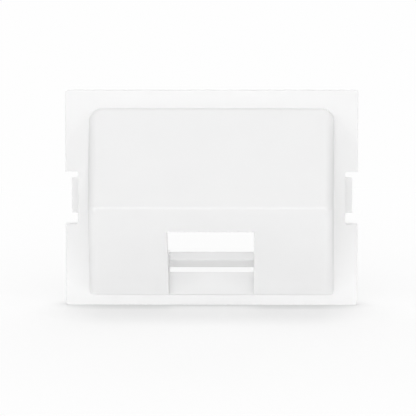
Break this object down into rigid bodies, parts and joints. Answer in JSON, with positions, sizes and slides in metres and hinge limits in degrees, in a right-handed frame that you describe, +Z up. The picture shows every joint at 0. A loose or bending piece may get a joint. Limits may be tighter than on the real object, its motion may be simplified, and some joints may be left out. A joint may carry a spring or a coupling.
{
  "type": "angled faceplate adapter",
  "caption": "White moulded snap-in adapter: a rectangular flange with side notches and a hollow wedge-shaped hood that holds a modular jack on a downward slant in a faceplate.",
  "frame": {"origin": "centre of the flange's rear face, which seats on the faceplate", "axes": "+X to the right seen from the front, along the flange's length; +Y from the front to the rear, into the faceplate; +Z up"},
  "size_m": [0.05, 0.0279, 0.0368],
  "materials": {
    "white_plastic": "smooth satin moulding"
  },
  "bodies": {
    "root": {"angled_adapter": "white_plastic"}
  },
  "joints": []
}
